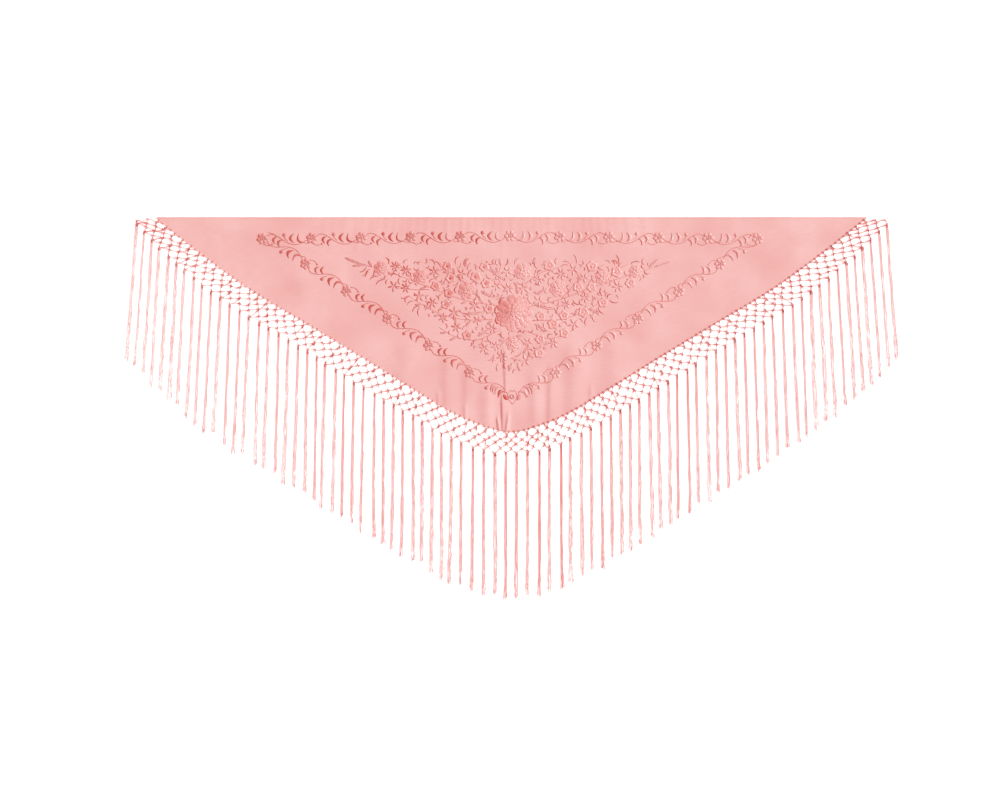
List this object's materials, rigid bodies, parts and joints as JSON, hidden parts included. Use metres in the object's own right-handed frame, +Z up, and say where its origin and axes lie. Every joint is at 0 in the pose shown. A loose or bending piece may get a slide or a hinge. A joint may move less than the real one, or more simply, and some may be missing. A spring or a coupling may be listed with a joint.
{
  "type": "flamenco shawl",
  "caption": "Flat triangular embroidered shawl with a straight top edge, a knotted net along both curved lower sides and long hanging fringe.",
  "frame": {"origin": "on the surface that the shawl lies on, under the middle of its whole width and depth", "axes": "+X along the straight top edge, +Y from the tip of the triangle to the top edge, +Z up off the surface"},
  "size_m": [1.6018, 0.787, 0.0069],
  "materials": {
    "crepe": "soft matt crepe with a slight sheen, salmon pink",
    "net_cord": "twisted silky cord, salmon pink, darker in the knots",
    "fringe_yarn": "loose silky yarn, salmon pink"
  },
  "bodies": {
    "root": {"cloth": "crepe", "net_left": "net_cord", "net_right": "net_cord", "fringe_left": "fringe_yarn", "fringe_right": "fringe_yarn"}
  },
  "joints": []
}
